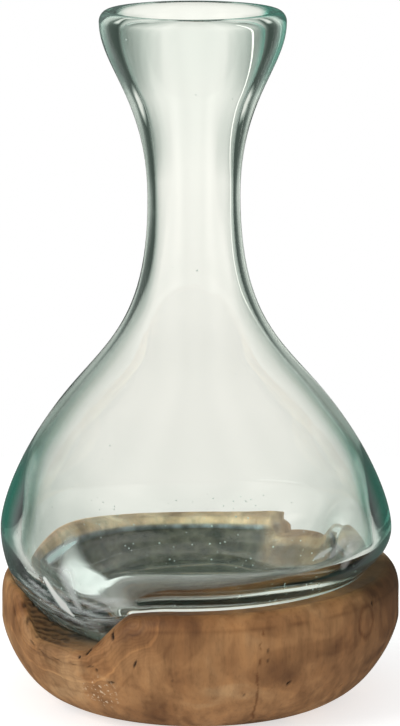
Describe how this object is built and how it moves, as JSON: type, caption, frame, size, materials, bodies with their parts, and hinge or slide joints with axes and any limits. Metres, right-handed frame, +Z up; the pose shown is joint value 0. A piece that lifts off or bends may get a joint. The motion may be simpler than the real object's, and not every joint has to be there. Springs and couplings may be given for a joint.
{
  "type": "bottle vase",
  "caption": "Blown bottle vase of greenish recycled glass with a waisted neck and thick flared lip, slumped into a hollowed root-wood base that it lifts out of.",
  "frame": {"origin": "centre of the flat foot of the wooden base, on the surface that the vase stands on", "axes": "+Z up along the bottle's neck, -Y the side that the picture is taken from, +X to the right in the picture"},
  "size_m": [0.1825, 0.1823, 0.3142],
  "materials": {
    "recycled_glass": "gloss",
    "oiled_root_wood": "satin"
  },
  "bodies": {
    "base": {"wooden_base": "oiled_root_wood"},
    "bottle": {"glass_bottle": "recycled_glass"}
  },
  "joints": [
    {"name": "glass_lift", "type": "slide", "parent": "base", "child": "bottle", "axis": [0, 0, 1], "range_m": [0, 0.06]}
  ]
}
